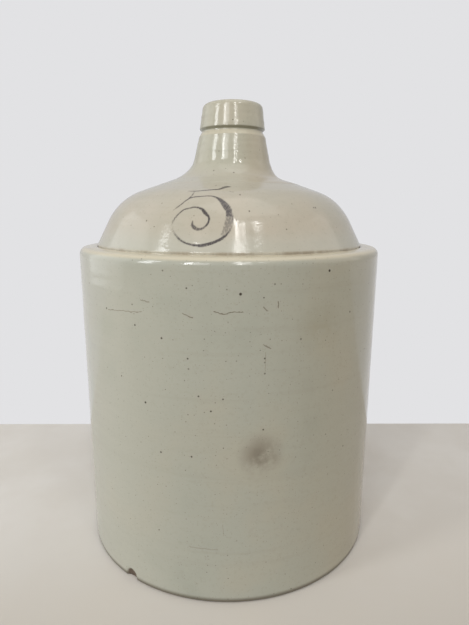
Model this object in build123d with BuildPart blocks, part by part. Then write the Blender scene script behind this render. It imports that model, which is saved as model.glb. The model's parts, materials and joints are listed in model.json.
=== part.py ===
"""A five-gallon stoneware shoulder jug, put together as a pottery puts it together.

Four fired-clay pieces: a jiggered body with an inner gallery at its rim, a domed shoulder
luted into the gallery, a thrown neck luted over the hole in the dome, and a pulled strap
handle from the neck to the dome. Units are millimetres. The origin is the centre of the
foot, +Z points up, the side that carries the capacity mark looks along -Y, and the handle
stands on the +Y side.
"""

from build123d import *
import math
import os

os.makedirs("parts", exist_ok=True)

# Driving dimensions of the jug
jug_height = 431.0
body_radius = 147.5  # outside, just under the rim
ledge_height = 297.5  # where the rim meets the dome
body_wall = 9.0
dome_wall = 9.0
mouth_radius = 16.0
neck_shift = 2.6  # the neck was set down a little off centre, towards +X
seam_gap = 0.4  # slip line left around each luted piece

# Body
foot_radius = body_radius - 1.3  # the wall leans out by this much over its height
foot_bevel = 2.5
foot_ring_width = 17.0
foot_recess = 1.2
floor_thickness = 11.0
floor_corner = 14.0
rim_round = 6.0
ledge_rise = 1.2  # the ledge climbs this much towards the dome
ledge_width = 17.7
gallery_depth = 8.0
corbel_height = 20.0  # thickened clay that carries the gallery

# Domed shoulder
dome_foot_radius = body_radius - ledge_width
side_angle = 64.5  # slope of the dome's side, in degrees
side_length = 25.0
shoulder_curve = 56.0
crown_angle = 19.0  # slope where the dome runs in under the neck

# Neck
neck_foot_radius = 69.0
lap_depth = 3.4
lap_width = 8.0
foot_edge = 0.4  # the neck's foot stands this proud of the dome
neck_foot_angle = 17.0
neck_taper = 12.3  # from the vertical
neck_cove = 26.0  # hollow curve from the neck to its foot
neck_top_radius = 32.4
neck_top_height = jug_height - 31.2
groove_radius = 29.8
groove_height = jug_height - 26.8
groove_width = 1.4
collar_radius = 31.6
collar_height = jug_height - 23.8
lip_radius = 28.6
lip_round = 4.5
mouth_round = 2.5
bore_length = 30.0
throat_top = (24.0, jug_height - 45.0)
throat_bottom = (30.0, jug_height - 68.0)
spigot_wall = 7.0

# Strap handle
handle_turn = 10.0  # degrees from +Y towards +X
handle_width = 31.0
handle_thickness = 10.5
handle_edge_round = 4.6
handle_start = (31.0, jug_height - 47.0)  # buried in the neck until it is trimmed
handle_shoulder = (68.0, jug_height - 36.0)
handle_elbow = (98.0, jug_height - 44.0)
handle_end = (91.0, jug_height - 90.5)  # buried in the dome until it is trimmed
handle_bend = 19.0


def climb(angle, length):
    """Step of this length that climbs towards the axis at this many degrees."""
    turn = math.radians(180 - angle)
    return Vector(math.cos(turn), math.sin(turn)) * length


# --- Body: floor, wall, rim and gallery, one jiggered piece -----------------------------
body_inner_radius = body_radius - body_wall
socket_radius = dome_foot_radius + seam_gap
shelf_height = ledge_height - gallery_depth
shelf_inner_radius = dome_foot_radius - dome_wall
foot_ring_inner = foot_radius - foot_ring_width

with BuildPart() as jug_body:
    with BuildSketch(Plane.XZ) as body_profile:
        with BuildLine():
            Polyline(
                (0, floor_thickness),
                (0, foot_recess),
                (foot_ring_inner, foot_recess),
                (foot_ring_inner + foot_recess, 0),
                (foot_radius - foot_bevel, 0),
                (foot_radius, foot_bevel),
                (body_radius, ledge_height - ledge_rise),
                (socket_radius, ledge_height),
                (socket_radius, shelf_height),
                (shelf_inner_radius, shelf_height),
                (shelf_inner_radius, shelf_height - gallery_depth),
                (body_inner_radius, shelf_height - corbel_height),
                (body_inner_radius, floor_thickness),
                close=True,
            )
        make_face()
        corners = body_profile.vertices()
        fillet(corners.sort_by_distance((body_radius, ledge_height))[0], rim_round)
        fillet(corners.sort_by_distance((body_inner_radius, floor_thickness))[0], floor_corner)
    revolve(axis=Axis.Z)
jug_body.part.label = "jug_body"
export_step(jug_body.part, "parts/jug_body.step")


# --- Domed shoulder: a ring wall whose foot stands in the gallery ------------------------
dome_foot = Vector(dome_foot_radius, ledge_height)
side_top = dome_foot + climb(side_angle, side_length)
into_wall = climb(side_angle + 90, dome_wall)  # square to the side, from outside to inside
inner_side_top = side_top - into_wall
inner_foot = Vector(
    dome_foot_radius - dome_wall,
    ledge_height - dome_wall * math.tan(math.radians(90 - side_angle) / 2),
)
curve_turn = side_angle - crown_angle
crown_length = 60.0  # runs past the hole, which trims it

with BuildPart() as shoulder_dome:
    with BuildSketch(Plane.XZ):
        with BuildLine():
            Line((dome_foot_radius, shelf_height), dome_foot)
            Line(dome_foot, side_top)
            outer_curve = JernArc(side_top, climb(side_angle, 1), shoulder_curve, curve_turn)
            outer_crown = Line(outer_curve @ 1, outer_curve @ 1 + climb(crown_angle, crown_length))
            inner_curve = JernArc(
                inner_side_top, climb(side_angle, 1), shoulder_curve - dome_wall, curve_turn
            )
            inner_crown = Line(inner_curve @ 1, inner_curve @ 1 + climb(crown_angle, crown_length))
            Line(outer_crown @ 1, inner_crown @ 1)
            Line(inner_side_top, inner_foot)
            Polyline(
                inner_foot,
                (dome_foot_radius - dome_wall, shelf_height),
                (dome_foot_radius, shelf_height),
            )
        make_face()
    revolve(axis=Axis.Z)
    crown_point = outer_curve @ 1
    edge_height = crown_point.Y + (crown_point.X - neck_foot_radius) * math.tan(
        math.radians(crown_angle)
    )
    seat_height = edge_height - lap_depth
    hole_radius = neck_foot_radius - lap_width
    with Locations((neck_shift, 0, seat_height)):
        Cylinder(
            neck_foot_radius + seam_gap,
            jug_height,
            align=(Align.CENTER, Align.CENTER, Align.MIN),
            mode=Mode.SUBTRACT,
        )
    with Locations((neck_shift, 0, 0)):
        Cylinder(hole_radius + seam_gap, 2 * jug_height, mode=Mode.SUBTRACT)
shoulder_dome.part.label = "shoulder_dome"
export_step(shoulder_dome.part, "parts/shoulder_dome.step")


# --- Neck: flared foot, taper, groove and collar, with the bored mouth -------------------
foot_top = edge_height + foot_edge
foot_slope = math.tan(math.radians(neck_foot_angle))
taper_slope = 1 / math.tan(math.radians(neck_taper))
# The foot's top and the taper are two straight lines, and this is where they would cross
taper_foot_height = neck_top_height + neck_top_radius * taper_slope
cross_radius = (taper_foot_height - foot_top - neck_foot_radius * foot_slope) / (
    taper_slope - foot_slope
)
cross_height = foot_top + (neck_foot_radius - cross_radius) * foot_slope
spigot_depth = dome_wall / math.cos(math.radians(crown_angle)) - lap_depth - (
    lap_width * math.tan(math.radians(crown_angle))
)
spigot_radius = hole_radius - spigot_wall

neck_axis = Axis((neck_shift, 0, 0), (0, 0, 1))

with BuildPart() as neck_spout:
    with BuildSketch(Plane(origin=neck_axis.position, x_dir=(1, 0, 0), z_dir=(0, -1, 0))) as neck_profile:
        with BuildLine():
            Polyline(
                (mouth_radius, jug_height),
                (lip_radius, jug_height),
                (collar_radius, collar_height),
                (groove_radius, groove_height + groove_width),
                (groove_radius, groove_height),
                (neck_top_radius, neck_top_height),
                (cross_radius, cross_height),
                (neck_foot_radius, foot_top),
                (neck_foot_radius, seat_height),
                (hole_radius, seat_height),
                (hole_radius, seat_height - spigot_depth),
                (spigot_radius, seat_height - spigot_depth),
                throat_bottom,
                throat_top,
                (mouth_radius, jug_height - mouth_round - bore_length),
                close=True,
            )
        make_face()
        rounds = [
            (cross_radius, cross_height, neck_cove),
            (lip_radius, jug_height, lip_round),
            (mouth_radius, jug_height, mouth_round),
        ]
        for corner_radius, corner_height, size in rounds:
            corners = neck_profile.vertices()
            fillet(corners.sort_by_distance((corner_radius, corner_height))[0], size)
    revolve(axis=neck_axis)
neck_spout.part.label = "neck_spout"
export_step(neck_spout.part, "parts/neck_spout.step")


# --- Strap handle: one pulled strap, its two ends pressed on to the neck and the dome ----
handle_direction = Vector(0, 1, 0).rotate(Axis.Z, -handle_turn)
handle_plane = Plane(
    origin=(neck_shift, 0, 0), x_dir=handle_direction, z_dir=handle_direction.cross(Vector(0, 0, 1))
)

with BuildPart() as strap_handle:
    with BuildLine(handle_plane) as strap_path:
        FilletPolyline(
            handle_start, handle_shoulder, handle_elbow, handle_end, radius=handle_bend
        )
    with BuildSketch(Plane(origin=strap_path.line @ 0, z_dir=strap_path.line % 0,
                           x_dir=handle_plane.z_dir)):
        RectangleRounded(handle_width, handle_thickness, handle_edge_round)
    sweep(path=strap_path.line)
    add(neck_spout.part, mode=Mode.SUBTRACT)
    add(shoulder_dome.part, mode=Mode.SUBTRACT)
strap_handle.part.label = "strap_handle"
export_step(strap_handle.part, "parts/strap_handle.step")

for piece in (jug_body, shoulder_dome, neck_spout, strap_handle):
    box = piece.part.bounding_box()
    print(piece.part.label, len(piece.part.solids()), round(piece.part.volume), box.min, box.max)
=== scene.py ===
import json
import math
import bpy
import numpy as np
from mathutils import Matrix, Vector

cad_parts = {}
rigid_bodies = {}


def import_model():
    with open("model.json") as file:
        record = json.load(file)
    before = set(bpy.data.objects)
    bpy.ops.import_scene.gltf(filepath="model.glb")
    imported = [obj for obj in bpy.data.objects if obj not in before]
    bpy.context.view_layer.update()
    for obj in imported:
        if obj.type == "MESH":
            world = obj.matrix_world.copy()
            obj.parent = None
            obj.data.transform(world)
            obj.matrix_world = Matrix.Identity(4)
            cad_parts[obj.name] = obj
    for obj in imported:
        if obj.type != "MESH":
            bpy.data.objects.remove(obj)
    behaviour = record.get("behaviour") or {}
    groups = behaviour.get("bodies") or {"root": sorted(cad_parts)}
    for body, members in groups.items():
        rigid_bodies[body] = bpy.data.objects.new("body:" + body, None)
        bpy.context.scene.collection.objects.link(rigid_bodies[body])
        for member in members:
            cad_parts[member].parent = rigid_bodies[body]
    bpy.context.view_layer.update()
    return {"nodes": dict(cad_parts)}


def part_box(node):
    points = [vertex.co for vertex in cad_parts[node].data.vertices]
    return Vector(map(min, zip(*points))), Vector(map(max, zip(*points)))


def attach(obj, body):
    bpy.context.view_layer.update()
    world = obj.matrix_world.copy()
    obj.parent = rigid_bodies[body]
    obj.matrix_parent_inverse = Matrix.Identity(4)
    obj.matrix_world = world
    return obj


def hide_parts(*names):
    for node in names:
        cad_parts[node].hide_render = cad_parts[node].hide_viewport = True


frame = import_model()
mm = 0.001
print("frame loaded:", sorted(frame["nodes"]))

bodyLow, bodyHigh = [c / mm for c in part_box("jug_body")]
domeLow, domeHigh = [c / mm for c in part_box("shoulder_dome")]
neckLow, neckHigh = [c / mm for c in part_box("neck_spout")]
handleLow, handleHigh = [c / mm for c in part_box("strap_handle")]
neckX = (neckLow.x + neckHigh.x) / 2  # the neck stands a little off the jug's axis

# The pieces' places in the frame, to 0.1 mm. Each set below measures from them.
ledgeTop = round(bodyHigh.z, 1)
gallery = round(domeLow.z, 1)  # the floor of the body's gallery, where the dome stands
crownTop = round(domeHigh.z, 1)
jugTop = round(neckHigh.z, 1)
strapTop = round(handleHigh.z, 1)
strapFoot = round(handleLow.z, 1)

cameraSet = {
    "place": (0.0, -509.5, 331.3),  # mm
    "down": 11.80,  # degrees below level
    "turn": 0.63,  # degrees to the right of +Y
    "roll": 0.19,  # degrees
    "lens": 28.42,  # mm, on a sensor 36 mm wide
}


def makeCamera(s):
    down, turn, roll = (math.radians(s[k]) for k in ("down", "turn", "roll"))
    ahead = math.cos(down)
    look = Vector((math.sin(turn) * ahead, math.cos(turn) * ahead, -math.sin(down)))
    level = look.cross(Vector((0, 0, 1))).normalized()
    upright = level.cross(look)
    right = math.cos(roll) * level + math.sin(roll) * upright
    up = math.cos(roll) * upright - math.sin(roll) * level
    data = bpy.data.cameras.new("camera")
    data.lens = s["lens"]
    data.sensor_width = 36
    data.clip_start = 0.01
    camera = bpy.data.objects.new("camera", data)
    place = Matrix((right, up, -look)).transposed().to_4x4()
    place.translation = Vector(s["place"]) * mm
    camera.matrix_world = place
    bpy.context.scene.collection.objects.link(camera)
    bpy.context.scene.camera = camera


makeCamera(cameraSet)
bpy.context.scene.view_settings.view_transform = "Standard"


class Link:
    # one output socket, so that shader maths reads as ordinary arithmetic
    def __init__(self, graph, socket):
        self.graph = graph
        self.socket = socket

    def maths(self, kind, *values, **settings):
        settings = dict(operation=kind, **settings)
        return self.graph.add("ShaderNodeMath", settings, dict(enumerate(values)))

    def __add__(self, other):
        return self.maths("ADD", self, other)

    def __radd__(self, other):
        return self.maths("ADD", other, self)

    def __sub__(self, other):
        return self.maths("SUBTRACT", self, other)

    def __rsub__(self, other):
        return self.maths("SUBTRACT", other, self)

    def __mul__(self, other):
        return self.maths("MULTIPLY", self, other)

    def __rmul__(self, other):
        return self.maths("MULTIPLY", other, self)

    def __truediv__(self, other):
        return self.maths("DIVIDE", self, other)

    def __rtruediv__(self, other):
        return self.maths("DIVIDE", other, self)

    def __pow__(self, other):
        return self.maths("POWER", self, other)

    def __lt__(self, other):
        return self.maths("LESS_THAN", self, other)

    def __neg__(self):
        return self.maths("MULTIPLY", self, -1)

    def highest(self, other):
        return self.maths("MAXIMUM", self, other)

    def clamped(self):
        return self.maths("ADD", self, 0, use_clamp=True)

    def rise(self, low, high):
        # 0 at low, 1 at high, smooth between. low may be the larger, for a fall.
        return self.graph.add("ShaderNodeMapRange", dict(interpolation_type="SMOOTHSTEP"),
                              {"Value": self, "From Min": low, "From Max": high})


class Graph:
    # the node tree of a material or of the world
    def __init__(self, owner):
        self.owner = owner
        owner.use_nodes = True
        self.nodes = owner.node_tree.nodes
        self.links = owner.node_tree.links
        self.nodes.clear()

    def add(self, kind, settings=None, inputs=None, output=None):
        # Adds a node, sets it, feeds it, and gives back one output: the first in use, or by name.
        node = self.nodes.new(kind)
        for name, value in (settings or {}).items():
            setattr(node, name, value)
        for name, value in (inputs or {}).items():
            self.feed(node.inputs[name], value)
        if output is None:
            return Link(self, next(o for o in node.outputs if o.enabled))
        return Link(self, node.outputs[output])

    def feed(self, socket, value):
        if isinstance(value, Link):
            self.links.new(value.socket, socket)
        elif isinstance(value, tuple) and len(value) == 3 and socket.type == "RGBA":
            socket.default_value = (*value, 1)
        else:
            socket.default_value = value

    def blend(self, amount, first, second):
        # Mixes two colours. By number, the Mix node takes colours at 6 and 7 and gives one at 2.
        inputs = {0: amount, 6: first, 7: second}
        return self.add("ShaderNodeMix", dict(data_type="RGBA"), inputs, 2)

    def blendNumbers(self, amount, first, second):
        return self.add("ShaderNodeMix", None, {0: amount, 2: first, 3: second}, 0)

    def vector(self, kind, first, second=None, output=None):
        inputs = {0: first} if second is None else {0: first, 1: second}
        return self.add("ShaderNodeVectorMath", dict(operation=kind), inputs, output)

    def place(self):
        return self.add("ShaderNodeTexCoord", output="Object")

    def ray(self, kind):
        return self.add("ShaderNodeLightPath", output=kind)

    def stretched(self, place, scale):
        return self.add("ShaderNodeMapping", None, {"Vector": place, "Scale": scale})

    def noise(self, place, scale, detail, rough):
        inputs = {"Vector": place, "Scale": scale, "Detail": detail, "Roughness": rough}
        return self.add("ShaderNodeTexNoise", None, inputs)

    def end(self, shader, kind="ShaderNodeOutputMaterial"):
        output = self.nodes.new(kind)
        self.feed(output.inputs["Surface"], shader)
        return self.owner

    def finish(self, **inputs):
        # inputs feed the Principled shader by socket name, with _ for a space.
        named = {name.replace("_", " "): value for name, value in inputs.items()}
        return self.end(self.add("ShaderNodeBsdfPrincipled", None, named))


def srgb(r, g, b):
    # The linear colour of an 8-bit sRGB one, for levels above the curve's straight foot (10).
    return tuple(((c / 255 + 0.055) / 1.055) ** 2.4 for c in (r, g, b))


def roundedPath(corners, closed=False):
    # A path through corners (x, y, round, spacing): straight runs, with each corner replaced by the
    # arc of radius round that touches both runs. spacing is the distance between points on the way
    # to that corner and round it. Gives the path's x and y.
    points = np.array([c[:2] for c in corners], float)
    count = len(points)
    pieces = []
    for i, (x, y, radius, spacing) in enumerate(corners):
        here = points[i]
        before, after = points[i - 1], points[(i + 1) % count]
        if radius and (closed or 0 < i < count - 1):
            inward = (before - here) / np.linalg.norm(before - here)
            onward = (after - here) / np.linalg.norm(after - here)
            half = math.acos(np.clip(inward @ onward, -1, 1)) / 2
            middle = (inward + onward) / np.linalg.norm(inward + onward)
            centre = here + middle * radius / math.sin(half)
            start = here + inward * radius / math.tan(half) - centre
            sweep = math.pi - 2 * half
            sign = np.sign(inward[0] * onward[1] - inward[1] * onward[0]) * -1
            steps = max(3, math.ceil(radius * sweep / min(spacing, radius * 0.35)))
            turn = sign * np.linspace(0, sweep, steps + 1)
            pieces.append(np.stack([
                centre[0] + start[0] * np.cos(turn) - start[1] * np.sin(turn),
                centre[1] + start[0] * np.sin(turn) + start[1] * np.cos(turn)], 1))
        else:
            pieces.append(here[None])
    path = []
    for i, piece in enumerate(pieces):
        if i or closed:
            start, stop = pieces[i - 1][-1], piece[0]
            steps = max(1, round(np.linalg.norm(stop - start) / corners[i][3]))
            path.append(start + (stop - start) * (np.arange(1, steps) / steps)[:, None])
        path.append(piece)
    path = np.concatenate(path)
    keep = np.ones(len(path), bool)
    keep[1:] = np.linalg.norm(np.diff(path, axis=0), axis=1) > 1e-4
    return path[keep, 0], path[keep, 1]


def closerRound(count, where, gain):
    # Bearings round the circle in radians, set closer together near one bearing.
    even = np.arange(count) / count * 2 * math.pi
    return even - gain * np.sin(even - where)


def ringMesh(name, x, y, z, ends, attributes):
    # A closed mesh from a grid of places in mm, rows along the profile and columns round it.
    # ends is "loop" where the last row joins the first, "poles" where each end row is one point.
    rows, columns = x.shape
    co = np.stack([x, y, z], -1).reshape(-1, 3) * mm
    index = np.arange(rows * columns).reshape(rows, columns)
    if ends == "loop":
        low, high = index, np.roll(index, -1, 0)
    else:
        low, high = index[1:-2], index[2:-1]
    quads = np.stack([low, np.roll(low, -1, 1), np.roll(high, -1, 1), high], -1).reshape(-1, 4)
    faces = quads.tolist()
    if ends == "poles":
        first, last = index[1], index[-2]
        faces += [[int(index[0, 0]), int(b), int(a)] for a, b in zip(first, np.roll(first, -1))]
        faces += [[int(index[-1, 0]), int(a), int(b)] for a, b in zip(last, np.roll(last, -1))]
        used = np.unique(np.concatenate([quads.ravel(), [index[0, 0], index[-1, 0]]]))
    else:
        used = np.arange(rows * columns)
    renumber = np.zeros(rows * columns, int)
    renumber[used] = np.arange(len(used))
    faces = [renumber[f].tolist() for f in faces]
    mesh = bpy.data.meshes.new(name)
    mesh.from_pydata(co[used], [], faces)
    for key, values in attributes.items():
        mesh.attributes.new(key, "FLOAT", "POINT").data.foreach_set(
            "value", values.reshape(-1)[used].astype(np.float32))
    mesh.polygons.foreach_set("use_smooth", np.ones(len(mesh.polygons), bool))
    mesh.update()
    return putInScene(name, mesh)


def putInScene(name, mesh):
    piece = bpy.data.objects.new(name, mesh)
    bpy.context.scene.collection.objects.link(piece)
    return piece


def smooth(values, low, high):
    t = np.clip((values - low) / (high - low), 0, 1)
    return t * t * (3 - 2 * t)


def waves(seed, bearing, height, sizes):
    # Irregular surface in mm: a sum of sines of bearing and height. sizes holds
    # (amplitude, turns round the pot, wavelength up the pot or 0 for none), with seeded phases.
    rng = np.random.default_rng(seed)
    total = np.zeros(np.broadcast(bearing, height).shape)
    for amplitude, turns, length in sizes:
        a, b, c = rng.uniform(0, 2 * math.pi, 3)
        along = height * 2 * math.pi / length if length else 0
        up = np.sin(along + c) if length else 1
        total = total + amplitude * np.sin(turns * bearing + a + 0.6 * np.sin(along * 0.31 + b)) * up
    return total


bodySet = {
    "radius": round(bodyHigh.x, 1) - 0.35,
    "lean": 1.3,
    "wall": 9.0,
    "ledge": ledgeTop - 0.2,
    "ledgeRise": 1.2,
    "rimRound": 6.5,
    "socket": round(domeHigh.x, 1) + 0.4,
    "shelf": gallery + 0.1,
    "shelfInner": 120.9,
    "shelfFoot": gallery - 8.0,
    "corbelFoot": gallery - 20.0,
    "floor": round(bodyLow.z, 1) + 11.0,
    "floorCorner": 14.0,
    "ringInner": 129.2,
    "recess": 1.2,
    "columns": 340,
    "chip": {"bearing": -37.6, "height": 2.5, "halfWidth": 7.2, "halfHeight": 8.4, "depth": 2.8},
}


def makeBody(s):
    foot = s["radius"] - s["lean"]
    inner = s["radius"] - s["wall"]
    rim = s["ledge"] - s["ledgeRise"]
    denseTo = 14  # rows are close together up to here, for the chip
    r, z = roundedPath([
        (0, s["recess"], 0, 20),
        (s["ringInner"], s["recess"], 1, 20),
        (s["ringInner"] + s["recess"], 0.02, 1, 1),
        (foot, 0.02, 2.6, 2.5),
        (foot + s["lean"] * denseTo / rim, denseTo, 0, 0.9),
        (s["radius"], rim, s["rimRound"], 2.4),
        (s["socket"], s["ledge"], 1.3, 1.4),
        (s["socket"], s["shelf"], 0, 1.5),
        (s["shelfInner"], s["shelf"], 0.6, 3),
        (s["shelfInner"], s["shelfFoot"], 3, 4),
        (inner, s["corbelFoot"], 3, 4),
        (inner, s["floor"], s["floorCorner"], 6),
        (0, s["floor"], 0, 20),
    ])
    chip = s["chip"]
    where = math.radians(chip["bearing"])
    bearing = closerRound(s["columns"], where, 0.6)[None]
    r, z = r[:, None], z[:, None]
    outside = smooth(r, foot - 4, foot - 1) * (r > inner + 5)
    wobble = waves(3, bearing, z, [
        (0.10, 2, 0), (0.05, 3, 0), (0.045, 1, 23), (0.035, 2, 9.2), (0.03, 1, 41), (0.02, 3, 14)])
    inside = smooth(-r, -inner - 0.6, -inner + 0.1) * (r > 60)
    rings = waves(5, bearing, z, [(0.25, 1, 19), (0.15, 2, 31)]) * smooth(z, 20, 40) * (z < 268)
    # the chip: a bowl cut inwards, deepest at the foot, its floor rough
    across = np.remainder(bearing - where + math.pi, 2 * math.pi) - math.pi
    reach = np.hypot(across * foot / chip["halfWidth"], (z - chip["height"]) / chip["halfHeight"])
    jagged = 0.05 * np.sin(7 * across * foot + 1) * np.sin(5 * z)
    bowl = smooth(-reach + jagged, -1.05, -0.55) * outside
    radius = r + outside * wobble + inside * rings - bowl * chip["depth"] * (0.8 + jagged)
    top = smooth(z, 286, 292) * smooth(r, 129, 131)
    uneven = waves(8, bearing, 0 * z, [(0.18, 2, 0), (0.14, 3, 0), (0.06, 7, 0)])
    height = z + top * uneven - 0.25 * top
    x, y = radius * np.sin(bearing), -radius * np.cos(bearing)
    bare = np.maximum(smooth(bowl, 0.15, 0.6), (z < 1.3) * (r < foot - 1.2) * (r > 1) + 0 * bowl)
    inward = (r < s["socket"] - 1) * (z > 5) + 0 * bowl
    return ringMesh("jugBody", x, y, height + 0 * x, "poles", {"bare": bare, "lining": inward})


body = makeBody(bodySet)
print("body:", len(body.data.polygons), "faces")


domeSet = {
    "foot": (round(domeHigh.x, 1), gallery + 8.1),
    "corner": (109.0, gallery + 51.8),  # where the side's line and the crown's line cross
    "round": 56.0,
    "crownEnd": (62.0, crownTop + 1.3),
    "wall": 9.0,
    "bottom": gallery + 0.5,
    "columns": 400,
    "middle": -10.5,  # degrees. The columns sit closest together here, under the mark.
    "flatRadius": 115.0,  # the dome is unrolled at this radius to place marks
}
# The capacity mark, one brushed numeral. Each stroke is a list of points: bearing in degrees,
# height, half the stroke's width in mm, and how dense the pigment is.
markSet = {
    "bar": [(-21.1, 346.1, 0.6, 0.4), (-19, 345.7, 1.2, 0.5), (-16.4, 345.9, 0.8, 0.8),
            (-9.3, 346.9, 0.9, 1), (-5.2, 347.5, 1.2, 1), (-2.5, 349.2, 2.3, 1), (-1.1, 349.7, 2.2, 1),
            (0.5, 349.6, 0.9, 0.9)],
    "tick": [(0, 345.6, 0.5, 0.4), (1, 345.3, 0.6, 0.5), (2, 344.9, 0.5, 0.3)],
    "stem": [(-17.4, 345.1, 0.5, 0.6), (-18, 340.5, 0.6, 1), (-19.8, 337.3, 0.55, 0.9),
             (-21.1, 334.5, 0.55, 0.9), (-23.5, 330.5, 0.4, 0.4)],
    "shoulder": [(-18.2, 340, 0.8, 1), (-15.7, 341, 0.7, 0.9), (-9.1, 341.7, 0.6, 0.9),
                 (-6.6, 341, 0.7, 1), (-4.8, 339.6, 1.2, 1), (-2.9, 337, 2.1, 1), (-1.4, 333.7, 2.7, 1),
                 (-0.4, 331, 2.4, 1), (-0.1, 329, 2.3, 0.9)],
    "flecks": [(-1, 326.6, 0.8, 1), (0.2, 327.2, 0.7, 1), (1.2, 325.7, 0.7, 1)],
    "worn": [(0, 328, 2.4, 0.75), (0, 325, 2.6, 0.62), (-0.4, 321, 2.5, 0.58), (-1.2, 316.5, 2.1, 0.55),
             (-2.2, 312.5, 1.4, 0.5)],
    "bowl": [(1.3, 325, 0.5, 0.9), (0.9, 318.7, 0.4, 0.6), (-0.4, 313.5, 0.6, 1), (-2.6, 309.3, 1, 1),
             (-5.3, 306.5, 1.1, 1), (-8.3, 304.4, 1.25, 1), (-10.5, 303.8, 1.05, 1),
             (-13.3, 304.3, 0.7, 1), (-16.2, 306, 0.6, 1), (-18.7, 309, 0.6, 1),
             (-21.2, 314.2, 0.35, 0.5), (-22, 318, 0.3, 0.25), (-21.8, 323.7, 0.5, 0.9),
             (-19.3, 330, 0.55, 0.9), (-17, 331.8, 0.6, 0.9), (-14, 332.8, 0.65, 1),
             (-11.2, 331.4, 1, 1), (-9.7, 328.7, 1.35, 1), (-7.9, 325, 0.8, 1), (-7.9, 321.5, 0.65, 1),
             (-8.8, 318.3, 0.7, 0.9), (-10.3, 316.4, 0.8, 0.9), (-11.8, 316.1, 1.1, 0.9),
             (-13.2, 317.4, 1.3, 0.9), (-14, 319.4, 0.8, 0.9), (-14.1, 322.2, 0.4, 0.7)],
}


def strokePoints(stroke, steps=14):
    # A smooth line through the stroke's points (Catmull-Rom), as an array of the same columns.
    p = np.array(stroke, float)
    p = np.concatenate([2 * p[:1] - p[1:2], p, 2 * p[-1:] - p[-2:-1]])
    t = (np.arange(steps) / steps)[:, None, None]
    a, b, c, d = p[None, :-3], p[None, 1:-2], p[None, 2:-1], p[None, 3:]
    second = 2 * a - 5 * b + 4 * c - d
    third = 3 * b - a - 3 * c + d
    q = 0.5 * (2 * b + (c - a) * t + second * t ** 2 + third * t ** 3)
    return np.concatenate([q.transpose(1, 0, 2).reshape(-1, p.shape[1]), p[-2:-1]])


def markOn(bearing, along, heightToAlong):
    # How much mark there is at each grid point: 1 inside a stroke's half width, fading at its edge.
    # Distances are taken on the unrolled dome.
    nominal = domeSet["flatRadius"]
    ink = np.zeros(np.broadcast(bearing, along).shape)
    for stroke in markSet.values():
        q = strokePoints(stroke)
        px = np.radians(q[:, 0]) * nominal
        py = heightToAlong(q[:, 1])
        for i in range(len(q)):
            near = np.hypot(bearing * nominal - px[i], along - py[i])
            ink = np.maximum(ink, q[i, 3] * smooth(-near, -q[i, 2] - 0.45, -q[i, 2] + 0.2))
    return ink


def makeDome(s):
    footR, footZ = s["foot"]
    cornerR, cornerZ = s["corner"]
    endR, endZ = s["crownEnd"]
    wall = s["wall"]
    outerR, outerZ = roundedPath([
        (footR - 0.1, s["bottom"], 0, 2),
        (footR, footZ + 1.0, 1.5, 0.6),
        (cornerR, cornerZ, s["round"], 0.62),
        (endR, endZ, 0, 0.7),
    ])
    innerR, innerZ = roundedPath([
        (endR - 1, endZ - wall, 1, 4),
        (cornerR - 0.73 * wall, cornerZ - 0.8 * wall, s["round"] - wall, 4),
        (footR - wall, footZ - 2, 1, 5),
        (footR - wall, s["bottom"], 0, 5),
    ])
    r = np.concatenate([outerR, innerR])[:, None]
    z = np.concatenate([outerZ, innerZ])[:, None]
    even = np.linspace(-math.pi, math.pi, s["columns"], endpoint=False)
    closer = 0.86 * np.sin(even) * np.cos(even / 2) ** 2
    bearing = (even - closer + math.radians(s["middle"]))[None]
    along = np.concatenate([[0], np.cumsum(np.hypot(np.diff(r[:, 0]), np.diff(z[:, 0])))])[:, None]
    outer = np.zeros_like(r)
    outer[:len(outerR)] = 1
    outerAlong = along[:len(outerR), 0]
    ink = markOn(bearing, along, lambda height: np.interp(height, outerZ, outerAlong)) * outer
    wobble = waves(12, bearing, z, [(0.25, 2, 0), (0.12, 3, 0), (0.05, 1, 23), (0.012, 2, 6.5)])
    ends = smooth(z, 298, 330) * smooth(-z, -353.5, -348)
    radius = r + wobble * ends
    height = z + 0.5 * wobble * ends
    x, y = radius * np.sin(bearing), -radius * np.cos(bearing)
    lining = 1 - outer + 0 * ink
    return ringMesh("shoulderDome", x, y, height + 0 * x, "loop", {"ink": ink, "lining": lining})


dome = makeDome(domeSet)
print("dome:", len(dome.data.polygons), "faces")


neckSet = {
    "footRadius": 69.5,
    "seat": jugTop - 79.5,
    "footTop": jugTop - 76.25,
    "cross": (40.1, jugTop - 66.8),  # where the foot's slope and the taper cross
    "cove": 27.0,
    "top": (32.3, jugTop - 31.0),
    "groove": (29.7, jugTop - 26.4),
    "collar": (31.6, jugTop - 23.9),
    "lip": (28.5, jugTop - 0.2),
    "mouth": 16.0,
    "boreLength": 32,
    "throatTop": (24, jugTop - 45.0),
    "throatFoot": (30, jugTop - 68.0),
    "spigot": (54, 60.6, jugTop - 82.4),  # inner and outer radius, and the height of its foot
    "offCentre": round(neckX, 1) - 0.6,
    "lean": 1.0,  # the neck leans this much further off centre by the time it reaches the collar
    "flare": 2.2,  # the foot's flare was wiped wider on the -X side than on the +X side
    "columns": 300,
}


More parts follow.
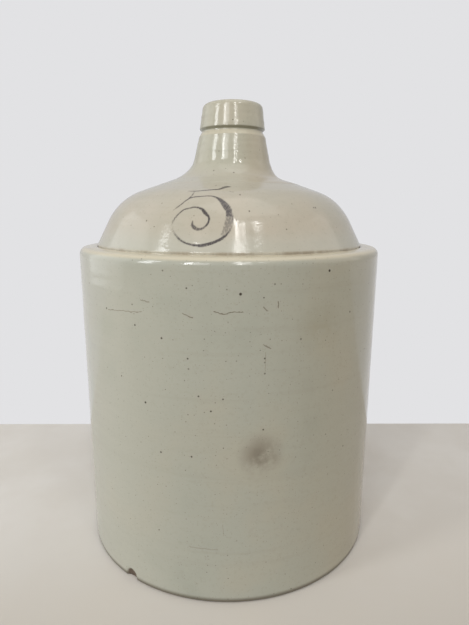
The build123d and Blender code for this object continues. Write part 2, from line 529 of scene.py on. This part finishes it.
def makeNeck(s):
    grooveR, grooveZ = s["groove"]
    collarR, collarZ = s["collar"]
    lipR, lipZ = s["lip"]
    spigotInner, spigotOuter, spigotZ = s["spigot"]
    r, z = roundedPath([
        (s["footRadius"], s["seat"], 0.3, 1),
        (s["footRadius"], s["footTop"], 0.5, 0.5),
        (*s["cross"], s["cove"], 0.9),
        (*s["top"], 3.0, 0.8),
        (grooveR, grooveZ - 0.5, 1.6, 0.4),
        (grooveR, grooveZ + 0.7, 0.6, 0.3),
        (collarR, collarZ, 0.9, 0.4),
        (lipR, lipZ, 5.0, 0.8),
        (s["mouth"], lipZ, 3.0, 0.8),
        (s["mouth"], lipZ - s["boreLength"], 2, 2.5),
        (*s["throatTop"], 3, 2.5),
        (*s["throatFoot"], 6, 2.5),
        (spigotInner, spigotZ, 1, 3),
        (spigotOuter, spigotZ, 1, 3),
        (spigotOuter + 0.2, s["seat"], 0.5, 1.5),
    ], closed=True)
    bearing = (np.arange(s["columns"]) / s["columns"] * 2 * math.pi)[None]
    r, z = r[:, None], z[:, None]
    outside = smooth(r, 24, 28) * (z > s["seat"] + 1)
    wobble = waves(21, bearing, z, [
        (0.20, 2, 0), (0.10, 3, 0), (0.06, 1, 8), (0.05, 2, 5.2), (0.05, 1, 14)])
    flare = s["flare"] * np.exp(-((z - 363) / 7) ** 2) * np.cos(bearing + math.pi / 2)
    radius = r + outside * (wobble * smooth(z, 355, 362) + flare * smooth(z, 355.5, 359))
    shift = s["offCentre"] * smooth(z, 354, 366) + s["lean"] * (np.maximum(z - 357, 0) / 50) ** 0.8
    x, y = shift + radius * np.sin(bearing), -radius * np.cos(bearing)
    uneven = waves(25, bearing, 0 * z, [(0.12, 1, 0), (0.10, 2, 0)]) * smooth(z, 415, 430)
    height = z + uneven - 0.2 * smooth(z, 415, 430)
    lining = smooth(-z, -398, -392) * (r < 31) * (z < 400) + 0 * x
    return ringMesh("neckSpout", x, y, height + 0 * x, "loop", {"lining": lining})


neck = makeNeck(neckSet)
print("neck:", len(neck.data.polygons), "faces")


handleSet = {
    "turn": 10.0,  # degrees from +Y towards +X
    # distance from the neck's axis and height
    "start": (30.0, strapTop - 16.0),
    "shoulder": (66.0, strapTop - 3.0),
    "elbow": (97.5, strapTop - 13.5),
    "end": (91.0, strapFoot - 5.9),
    "bends": (26, 22),
    "easing": 60,  # rounds of smoothing, so that the strap bends like pulled clay
    "halfWidth": 14.5,
    "halfThickness": 5.0,
    "columns": 72,
}


def makeHandle(s):
    u, h = roundedPath([
        (*s["start"], 0, 0.9),
        (*s["shoulder"], s["bends"][0], 0.9),
        (*s["elbow"], s["bends"][1], 0.9),
        (*s["end"], 0, 0.9),
    ])
    for _ in range(s["easing"]):
        u[1:-1] = (u[:-2] + 2 * u[1:-1] + u[2:]) / 4
        h[1:-1] = (h[:-2] + 2 * h[1:-1] + h[2:]) / 4
    along = np.concatenate([[0], np.cumsum(np.hypot(np.diff(u), np.diff(h)))])
    total = along[-1]
    du, dh = np.gradient(u, along), np.gradient(h, along)
    size = np.hypot(du, dh)
    # towards the strap's outer face
    normalU, normalH = (-dh / size)[:, None], (du / size)[:, None]
    fromNeck, fromDome = along, total - along
    rootNeck = np.exp(-np.maximum(fromNeck - 6, 0) / 5.0)
    rootDome = np.exp(-np.maximum(fromDome - 7, 0) / 5.0)
    taper = 1 - 0.12 * np.sin(np.pi * along / total)
    halfWidth = (s["halfWidth"] * taper + 4.0 * rootNeck + 5.0 * rootDome)[:, None]
    thinning = 1 - 0.1 * along / total
    halfThick = (s["halfThickness"] * thinning + 3.2 * rootNeck + 2.6 * rootDome)[:, None]
    phase = (np.arange(s["columns"]) / s["columns"] * 2 * math.pi)[None]
    c, d = np.cos(phase), np.sin(phase)
    across = np.sign(c) * np.abs(c) ** 0.62 * halfWidth
    out = np.sign(d) * np.abs(d) ** 0.72 * halfThick
    # two shallow grooves that the potter's fingers left along the outer face
    groove = -0.55 * np.cos(across / halfWidth * 3 * math.pi) * (d > 0) * np.abs(d)
    lumps = 0.25 * np.sin(along / 13 + 1)[:, None] * c + 0.2 * np.sin(along / 7.3)[:, None] * d
    out = out + groove + lumps
    out[0], out[-1], across[0], across[-1] = 0, 0, 0, 0
    turn = math.radians(s["turn"])
    radial = u[:, None] + normalU * out
    x = neckX + radial * math.sin(turn) + across * math.cos(turn)
    y = radial * math.cos(turn) - across * math.sin(turn)
    z = h[:, None] + normalH * out
    return ringMesh("strapHandle", x, y, z, "poles", {"lining": 0 * x})


handle = makeHandle(handleSet)
print("handle:", len(handle.data.polygons), "faces")


glazeSets = {
    "body": dict(tint=srgb(170, 170, 157), warm=srgb(174, 170, 154), cool=srgb(161, 163, 150),
                 dark=srgb(152, 149, 133), bands=0.18, speckShare=0.22),
    "dome": dict(tint=srgb(182, 176, 160), warm=srgb(190, 180, 163), cool=srgb(170, 168, 151),
                 dark=srgb(166, 158, 139), bands=0.20, speckShare=0.10),
    "neck": dict(tint=srgb(180, 177, 160), warm=srgb(184, 176, 157), cool=srgb(168, 169, 152),
                 dark=srgb(160, 155, 136), bands=0.20, speckShare=0.10),
    "handle": dict(tint=srgb(174, 170, 154), warm=srgb(180, 172, 154), cool=srgb(162, 162, 146),
                   dark=srgb(152, 147, 129), bands=0.20, speckShare=0.25),
}
claySet = {
    "bare": srgb(112, 97, 82),  # broken or unglazed clay
    "foot": srgb(92, 84, 70),
    "lining": srgb(84, 56, 36),  # brown slip inside
    "iron": srgb(54, 44, 36),
    "ink": srgb(62, 56, 60),
    "grime": srgb(120, 98, 72),
    "crack": srgb(92, 80, 60),
    "cream": srgb(208, 197, 172),
    "groove": srgb(112, 112, 92),  # where the glaze pools
    "chipDark": srgb(76, 64, 54),
    # painted shade: the body's and the neck's +X side darker and browner, away from the lamps; painted
    # light: the body's -X side paler
    "bodyShadedSide": srgb(168, 157, 132),
    "bodyLitSide": srgb(190, 188, 174),
    "neckShadedSide": srgb(180, 165, 142),
    "domeFoot": srgb(184, 184, 172),
}


class Pot:
    # the sockets that every glaze on the jug starts from: place, bearing and height
    def __init__(self, name):
        self.g = Graph(bpy.data.materials.new(name))
        self.place = self.g.place()
        self.x = self.axis("X")
        self.y = self.axis("Y")
        self.z = self.axis("Z") / mm
        self.bearing = self.x.maths("ARCTAN2", self.x, -self.y)
        self.radius = (self.x * self.x + self.y * self.y) ** 0.5 / mm

    def axis(self, name):
        return self.g.add("ShaderNodeSeparateXYZ", None, {"Vector": self.place}, name)

    def unrolled(self, radius):
        # Mm round the pot and mm up it, as a flat vector, for marks that lie in the surface.
        return self.g.add("ShaderNodeCombineXYZ", None, {"X": self.bearing * radius, "Y": self.z})

    def attribute(self, name):
        return self.g.add("ShaderNodeAttribute", dict(attribute_name=name), None, "Fac")


def specks(g, flat, spacing, radius, share, shift):
    # Round spots up to radius mm in radius, one to a cell of spacing mm, in a share of the cells.
    moved = g.vector("ADD", flat, (shift, shift * 1.7, 0))
    settings = dict(voronoi_dimensions="2D")
    inputs = {"Vector": moved, "Scale": 1 / spacing}
    distance = g.add("ShaderNodeTexVoronoi", settings, inputs, "Distance") * spacing
    colour = g.add("ShaderNodeTexVoronoi", settings, inputs, "Color")
    pick = g.add("ShaderNodeSeparateColor", None, {"Color": colour}, "Red")
    size = g.add("ShaderNodeSeparateColor", None, {"Color": colour}, "Green")
    reach = radius * (0.4 + 0.6 * size)
    return (distance / reach).rise(1.15, 0.55) * (pick < share)


def spot(g, flat, radius, bearing, height, reach, core):
    # 1 within core of reach mm from a place on the pot, fading to 0 at reach.
    middle = (math.radians(bearing) * radius, height, 0)
    return g.vector("DISTANCE", flat, middle, "Value").rise(reach, reach * core)


def ironMarks(g, flat, radius, marks, colour):
    for bearing, height, reach, amount in marks:
        mark = spot(g, flat, radius, bearing, height, reach * 1.25, 0.5)
        colour = g.blend(mark * amount, colour, claySet["iron"])
    return colour


def smudged(g, flat, radius, marks, core, colour, patchy=1):
    for (bearing, height), reach, tint, amount in marks:
        patch = spot(g, flat, radius, bearing, height, reach, core) * patchy
        colour = g.blend(patch * amount, colour, srgb(*tint))
    return colour


def scratch(g, flat, radius, line, halfWidth):
    # A hairline: 1 on the stretches between places (bearing, height), fading round halfWidth mm.
    total = None
    for (bearingA, heightA), (bearingB, heightB) in zip(line, line[1:]):
        start = Vector((math.radians(bearingA) * radius, heightA, 0))
        run = Vector((math.radians(bearingB) * radius, heightB, 0)) - start
        away = g.vector("SUBTRACT", flat, tuple(start))
        along = (g.vector("DOT_PRODUCT", away, tuple(run), "Value") / run.length_squared).clamped()
        inputs = {0: tuple(run), "Scale": along}
        nearest = g.add("ShaderNodeVectorMath", dict(operation="SCALE"), inputs)
        distance = g.vector("DISTANCE", away, nearest, "Value")
        here = distance.rise(halfWidth * 1.5, halfWidth * 0.5)
        total = here if total is None else total.highest(here)
    return total


def glazeColour(pot, s):
    # The tint drifts between warm and cool over some 60 mm, with faint bands round the pot where the
    # potter's rib passed, and a fine mottle.
    g, place = pot.g, pot.place
    drift = g.noise(place, 11, 3, 0.55)
    colour = g.blend(drift.rise(0.46, 0.66) * 0.8, s["tint"], s["warm"])
    colour = g.blend(drift.rise(0.46, 0.30) * 0.7, colour, s["cool"])
    bands = g.noise(g.stretched(place, (2.2, 2.2, 60)), 2.2, 4, 0.62)
    colour = g.blend(bands.rise(0.50, 0.74) * s["bands"], colour, s["dark"])
    colour = g.blend(bands.rise(0.46, 0.28) * s["bands"] * 0.5, colour, s["warm"])
    mottle = g.noise(place, 260, 3, 0.65)
    colour = g.blend(mottle.rise(0.50, 0.72) * 0.22, colour, s["dark"])
    colour = g.blend(mottle.rise(0.46, 0.30) * 0.16, colour, s["warm"])
    return colour


def speckled(pot, colour, flat, share):
    g = pot.g
    colour = g.blend(specks(g, flat, 3.1, 0.38, share * 1.3, 11) * 0.34, colour, claySet["iron"])
    colour = g.blend(specks(g, flat, 8.5, 0.58, share * 1.2, 37) * 0.50, colour, claySet["iron"])
    return g.blend(specks(g, flat, 29, 0.95, share, 5) * 0.80, colour, claySet["iron"])


def glazeSurface(pot, lining, bare=None):
    # Roughness and the bump: a thin glaze skin with soft ripples, duller where clay or slip shows.
    g, place = pot.g, pot.place
    cloud = g.noise(place, 45, 4, 0.6)
    roughness = 0.09 + 0.08 * cloud.rise(0.35, 0.7) + 0.22 * lining
    ripple = g.noise(g.stretched(place, (1, 1, 2.2)), 75, 2, 0.5)
    skin = g.noise(place, 330, 2, 0.5)
    turning = g.noise(g.stretched(place, (1.5, 1.5, 60)), 3, 2, 0.5)
    height = ripple * 0.12 + skin * 0.06 + turning * 0.05
    if bare is not None:
        roughness = roughness + 0.55 * bare
        height = height + g.noise(place, 700, 3, 0.7) * bare * 0.5
    return roughness, height


def finishGlaze(pot, colour, roughness, height):
    bump = pot.g.add("ShaderNodeBump", None, {"Height": height, "Strength": 1.0, "Distance": mm})
    return pot.g.finish(Base_Color=colour, Roughness=roughness, Normal=bump, IOR=1.5)


bodyMarks = {
    # bearing, height, reach in mm, how dark
    "iron": [
        (3.3, 269.5, 1.15, 0.95), (32.4, 284.5, 1.1, 0.95), (-44, 250.5, 0.9, 0.75),
        (-30.7, 241, 0.8, 0.85), (-21, 233, 0.85, 0.85), (-12.4, 210, 0.8, 0.5),
        (-9.4, 188, 0.8, 0.8), (43.3, 248, 0.8, 0.8), (-37.7, 195, 0.7, 0.7),
        (22.5, 232, 0.9, 0.5), (10.9, 206.5, 0.8, 0.6), (36.3, 183, 0.7, 0.5),
        (-27.7, 177, 0.95, 0.9), (-5.6, 176, 0.8, 0.85), (-20, 286, 0.7, 0.6),
        (10.8, 215.5, 0.7, 0.5), (-0.7, 273, 0.6, 0.5), (13.5, 276.5, 0.8, 0.5),
        (-31.5, 257.5, 0.7, 0.6), (118, 214, 1.1, 0.9), (-128, 96, 1.0, 0.9),
        (156, 150, 0.9, 0.8), (-95, 232, 1.0, 0.85), (78, 122, 0.9, 0.8),
    ],
    "hairlines": [
        ([(-43, 249.7), (-35, 251.6), (-32.7, 251), (-28, 252.4)], 0.30, 0.45),
        ([(-28, 262), (-25, 260.6)], 0.40, 0.40),
        ([(-13.8, 254), (-10.8, 250.6)], 0.40, 0.50),
        ([(-4.5, 256.3), (-1.4, 254), (-0.3, 255), (1.1, 256), (4, 255.5)], 0.30, 0.65),
        ([(14.7, 263), (14.8, 258.4)], 0.35, 0.60),
        ([(10.2, 259.2), (11.3, 256.2)], 0.45, 0.45),
        ([(10.3, 230), (12.5, 226.6)], 0.45, 0.45),
        ([(10.9, 224), (11, 208.5)], 0.28, 0.22),
        ([(-13, 53), (-4, 52.4)], 0.45, 0.18),
        ([(-2, 76), (-1.6, 66)], 0.30, 0.15),
        ([(150, 230), (158, 226), (163, 229)], 0.30, 0.45),
        ([(-110, 180), (-106, 171)], 0.30, 0.40),
    ],
    "smudges": [((10.3, 137.5), 24, (110, 98, 84), 0.60), ((9.6, 136), 11, (100, 90, 76), 0.22),
                ((-45, 238), 22, (150, 155, 138), 0.50), ((-46, 200), 24, (152, 156, 140), 0.40),
                ((30, 240), 30, (146, 138, 112), 0.28), ((140, 120), 20, (128, 120, 108), 0.35)],
}


def bodyGlaze():
    s = glazeSets["body"]
    pot = Pot("bodyGlaze")
    g = pot.g
    radius = bodySet["radius"]
    flat = pot.unrolled(radius)
    # the hairlines wander by about a millimetre
    inputs = {"Vector": pot.place, "Scale": 330, "Detail": 2.0}
    jitter = g.add("ShaderNodeTexNoise", None, inputs, "Color")
    jitter = g.vector("MULTIPLY", g.vector("SUBTRACT", jitter, (0.5, 0.5, 0.5)), (2.4, 2.4, 0))
    shaky = g.vector("ADD", flat, jitter)
    patchy = g.noise(pot.place, 60, 4, 0.65).rise(0.25, 0.6)
    colour = smudged(g, flat, radius, bodyMarks["smudges"], 0.15, glazeColour(pot, s), patchy)
    # painted shade: the +X side darker and browner, away from the lamps
    colour = g.blend((pot.x / mm).rise(10, 150) * 0.50, colour, claySet["bodyShadedSide"])
    # painted light: the -X side paler, towards the lamps
    colour = g.blend((pot.x / mm).rise(-20, -120) * 0.55, colour, claySet["bodyLitSide"])
    cream = pot.z.rise(292.6, 295.4)
    colour = g.blend(cream * 0.85, colour, claySet["cream"])
    colour = speckled(pot, colour, flat, s["speckShare"])
    for line, halfWidth, amount in bodyMarks["hairlines"]:
        hairline = scratch(g, shaky, radius, line, halfWidth)
        colour = g.blend(hairline * amount * 1.25, colour, claySet["crack"])
    colour = ironMarks(g, flat, radius, bodyMarks["iron"], colour)
    # broken, uneven grime in the seam round the dome's foot, and a dark line where the jug stands
    broken = g.noise(g.stretched(pot.place, (1, 1, 0.2)), 55, 4, 0.7)
    seam = pot.radius.rise(133.2, 131.0) * pot.z.rise(286, 289)
    colour = g.blend(seam * broken.rise(0.40, 0.62) * 0.65, colour, claySet["grime"])
    foot = pot.z.rise(6.5, 2.4)
    colour = g.blend(foot * 0.85, colour, claySet["foot"])
    lining, bare = pot.attribute("lining"), pot.attribute("bare")
    colour = g.blend(lining, colour, claySet["lining"])
    chipped = g.blend(g.noise(pot.place, 500, 3, 0.6), claySet["bare"], claySet["chipDark"])
    colour = g.blend(bare, colour, chipped)
    roughness, height = glazeSurface(pot, lining, bare)
    return finishGlaze(pot, colour, roughness, height)


domeMarks = {
    "iron": [
        (8, 330, 0.7, 0.7), (22, 316, 0.6, 0.6), (-35, 322, 0.7, 0.6), (5, 343, 0.7, 0.6),
        (40, 333, 0.7, 0.7), (-8, 351, 0.6, 0.5), (130, 322, 0.9, 0.8), (-120, 330, 0.8, 0.8),
    ],
    "smudges": [((34, 333), 30, (190, 178, 157), 0.22), ((-38, 325), 26, (192, 184, 170), 0.35),
                ((9, 312), 16, (160, 154, 136), 0.30)],
}


def domeGlaze():
    s = glazeSets["dome"]
    pot = Pot("domeGlaze")
    g = pot.g
    radius = domeSet["flatRadius"]
    flat = pot.unrolled(radius)
    colour = smudged(g, flat, radius, domeMarks["smudges"], 0.1, glazeColour(pot, s))
    # the glaze runs thicker and greener towards the dome's foot
    colour = g.blend(pot.z.rise(318, 302) * 0.5, colour, claySet["domeFoot"])
    colour = speckled(pot, colour, flat, s["speckShare"])
    colour = ironMarks(g, flat, radius, domeMarks["iron"], colour)
    # the pigment broke up a little under the glaze, in streaks across the brush's path
    streaks = g.noise(g.stretched(pot.place, (1, 1, 0.35)), 900, 2, 0.6)
    ink = pot.attribute("ink")
    ink = ink * (ink * 0.75 + streaks.rise(0.36, 0.60) * (1.1 - 0.6 * ink)).clamped()
    colour = g.blend(ink * 0.92, colour, claySet["ink"])
    broken = g.noise(g.stretched(pot.place, (1, 1, 0.2)), 55, 4, 0.7)
    seam = pot.z.rise(299.8, 297.6)
    colour = g.blend(seam * broken.rise(0.42, 0.64) * 0.65, colour, claySet["grime"])
    colour = g.blend(seam * 0.35, colour, claySet["cream"])
    lining = pot.attribute("lining")
    colour = g.blend(lining, colour, claySet["lining"])
    roughness, height = glazeSurface(pot, lining)
    return finishGlaze(pot, colour, roughness, height)


neckMarks = [(6, 412, 0.6, 0.8), (-16, 384, 0.6, 0.6), (-19, 366, 0.6, 0.6), (5, 364, 0.6, 0.7),
             (140, 380, 0.8, 0.8)]


def neckGlaze():
    s = glazeSets["neck"]
    pot = Pot("neckGlaze")
    g = pot.g
    radius = 36.0  # about the neck's own
    flat = pot.unrolled(radius)
    colour = glazeColour(pot, s)
    colour = g.blend(pot.z.rise(374, 360) * 0.8, colour, glazeSets["dome"]["tint"])
    # painted shade: the neck's +X side below the collar darker and browner, away from the lamps
    neckShadeMask = (pot.x / mm).rise(4, 26) * pot.z.rise(404, 398)
    colour = g.blend(neckShadeMask * 0.42, colour, claySet["neckShadedSide"])
    colour = speckled(pot, colour, flat, s["speckShare"])
    colour = ironMarks(g, flat, radius, neckMarks, colour)
    # glaze pools dark green in the groove and thins to cream on the shoulder under it
    groove = pot.z.rise(404.4, 405.4) * pot.z.rise(408.2, 407.0)
    colour = g.blend(groove * 0.6, colour, claySet["groove"])
    shoulder = pot.z.rise(399.4, 400.6) * pot.z.rise(404.6, 403.6)
    colour = g.blend(shoulder * 0.45, colour, claySet["cream"])
    colour = g.blend(pot.z.rise(429, 432.5) * 0.35, colour, claySet["cream"])
    lining = pot.attribute("lining")
    colour = g.blend(lining, colour, claySet["lining"])
    roughness, height = glazeSurface(pot, lining)
    return finishGlaze(pot, colour, roughness, height)


def handleGlaze():
    s = glazeSets["handle"]
    pot = Pot("handleGlaze")
    g = pot.g
    flat = g.add("ShaderNodeCombineXYZ", None, {"X": pot.x / mm, "Y": pot.y / mm + pot.z})
    colour = speckled(pot, glazeColour(pot, s), flat, s["speckShare"])
    lining = pot.attribute("lining")
    roughness, height = glazeSurface(pot, lining)
    return finishGlaze(pot, colour, roughness, height)


def dressPiece(piece, material, node):
    piece.data.materials.append(material)
    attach(piece, "root")
    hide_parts(node)


dressPiece(body, bodyGlaze(), "jug_body")
dressPiece(dome, domeGlaze(), "shoulder_dome")
dressPiece(neck, neckGlaze(), "neck_spout")
dressPiece(handle, handleGlaze(), "strap_handle")
print("glazes made")


stageSet = {
    "table": srgb(229, 224, 217),
    # painted shade: the table's front, towards the camera, darker
    "tableShadedFront": srgb(172, 163, 149),
    "tableBlotch": srgb(207, 198, 185),
    "wall": srgb(226, 226, 228),
    "tableEdge": 217,  # mm behind the jug's middle
    "tableReach": 3000,  # mm to the sides and to the front
    "groundReach": 6000,
}


def flatSheet(name, low, high, level):
    (left, front), (right, back) = low, high
    corners = np.array([(left, front), (right, front), (right, back), (left, back)])
    corners = np.column_stack([corners, np.full(4, level)])
    mesh = bpy.data.meshes.new(name)
    mesh.from_pydata(corners * mm, [], [(0, 1, 2, 3)])
    return putInScene(name, mesh)


def makeStage(s):
    far = s["tableReach"]
    table = flatSheet("table", (-far, -far), (far, s["tableEdge"]), 0)
    g = Graph(bpy.data.materials.new("tableTop"))
    blotch = g.noise(g.place(), 6, 4, 0.6)
    # painted shade: the table darkens towards the camera, where less light reaches it
    frontShade = g.add("ShaderNodeSeparateXYZ", None, {"Vector": g.place()}, "Y").rise(0.05, -0.38)
    colour = g.blend(frontShade, s["table"], s["tableShadedFront"])
    colour = g.blend(blotch.rise(0.35, 0.65) * 0.3, colour, s["tableBlotch"])
    table.data.materials.append(g.finish(Base_Color=colour, Roughness=0.9))
    # a ground past the table's edge that glows like the wall, to the camera and in the glaze
    far = s["groundReach"]
    ground = flatSheet("ground", (-far, -far), (far, far), -1)
    g = Graph(bpy.data.materials.new("paleGround"))
    seen = g.ray("Is Camera Ray").highest(g.ray("Is Glossy Ray"))
    diffuse = g.add("ShaderNodeBsdfDiffuse", None, {"Color": s["wall"]})
    glow = g.add("ShaderNodeEmission", None, {"Color": s["wall"], "Strength": 1.0})
    both = g.add("ShaderNodeMixShader", None, {0: seen, 1: diffuse, 2: glow})
    ground.data.materials.append(g.end(both))


makeStage(stageSet)

# Each lamp stands at a bearing from -Y and an elevation, both as seen from the middle of the jug
lightSet = {
    # bearing, elevation, distance in mm, size in mm, brightness, colour
    "paneLeft": (-61, 25, 2600, (420, 1250), 9.0, (0.95, 0.98, 1.0)),
    "paneMiddle": (-22, 29, 2600, (560, 1100), 4.1, (0.97, 0.99, 1.0)),
    "paneEdge": (-30, 29, 2550, (150, 1100), 18.0, (0.97, 0.99, 1.0)),
    "paneRight": (8, 39, 2600, (80, 1750), 27.0, (1.0, 0.99, 0.97)),
    "paneRightEdge": (14.5, 36, 2600, (50, 1500), 22.0, (1.0, 0.99, 0.97)),
    "paneFar": (30, 48, 2600, (130, 160), 36.0, (1.0, 0.99, 0.97)),
    "leftWall": (-100, 14, 1900, (1500, 1500), 0.8, (0.95, 0.98, 1.0)),
    "rightWall": (88, 22, 2400, (1800, 1500), 0.55, (1.0, 0.95, 0.87)),
    "overhead": (40, 80, 2200, (1500, 1500), 0.9, (1.0, 0.97, 0.92)),
}
lampsLookAt = 230  # mm above the table
worldSet = {
    "colour": srgb(226, 226, 228),
    "light": 0.41,  # how much it lights the jug
    "shine": 0.42,  # how bright the glaze mirrors it on the camera's side
    "wallShine": 0.8,  # and behind the jug
    "front": -0.15,  # where the one fades into the other, as a direction's share along +Y
    "back": 0.35,
}


def makeLights(lights):
    middle = Vector((0, 0, lampsLookAt)) * mm
    for name, (bearing, elevation, distance, size, brightness, colour) in lights.items():
        a, e = math.radians(bearing), math.radians(elevation)
        away = Vector((math.sin(a) * math.cos(e), -math.cos(a) * math.cos(e), math.sin(e)))
        data = bpy.data.lights.new(name, "AREA")
        data.shape = "RECTANGLE"
        data.size, data.size_y = size[0] * mm, size[1] * mm
        data.energy = brightness * math.pi * data.size * data.size_y
        data.color = colour
        lamp = bpy.data.objects.new(name, data)
        lamp.location = middle + away * distance * mm
        lamp.rotation_euler = away.to_track_quat("Z", "Y").to_euler()
        bpy.context.scene.collection.objects.link(lamp)


def makeWorld(w):
    world = bpy.data.worlds.new("room")
    bpy.context.scene.world = world
    g = Graph(world)
    # reflections see a brighter room behind the jug than on the camera's side
    way = g.add("ShaderNodeTexCoord", output="Generated")
    depth = g.add("ShaderNodeSeparateXYZ", None, {"Vector": way}, "Y")
    shine = g.add("ShaderNodeMapRange", None, {
        "Value": depth, "From Min": w["front"], "From Max": w["back"],
        "To Min": w["shine"], "To Max": w["wallShine"]})
    strength = g.blendNumbers(g.ray("Is Glossy Ray"), w["light"], shine)
    strength = g.blendNumbers(g.ray("Is Camera Ray"), strength, 1.0)
    background = g.add("ShaderNodeBackground", None, {"Color": w["colour"], "Strength": strength})
    g.end(background, "ShaderNodeOutputWorld")


makeLights(lightSet)
makeWorld(worldSet)
print("stage and lights set")
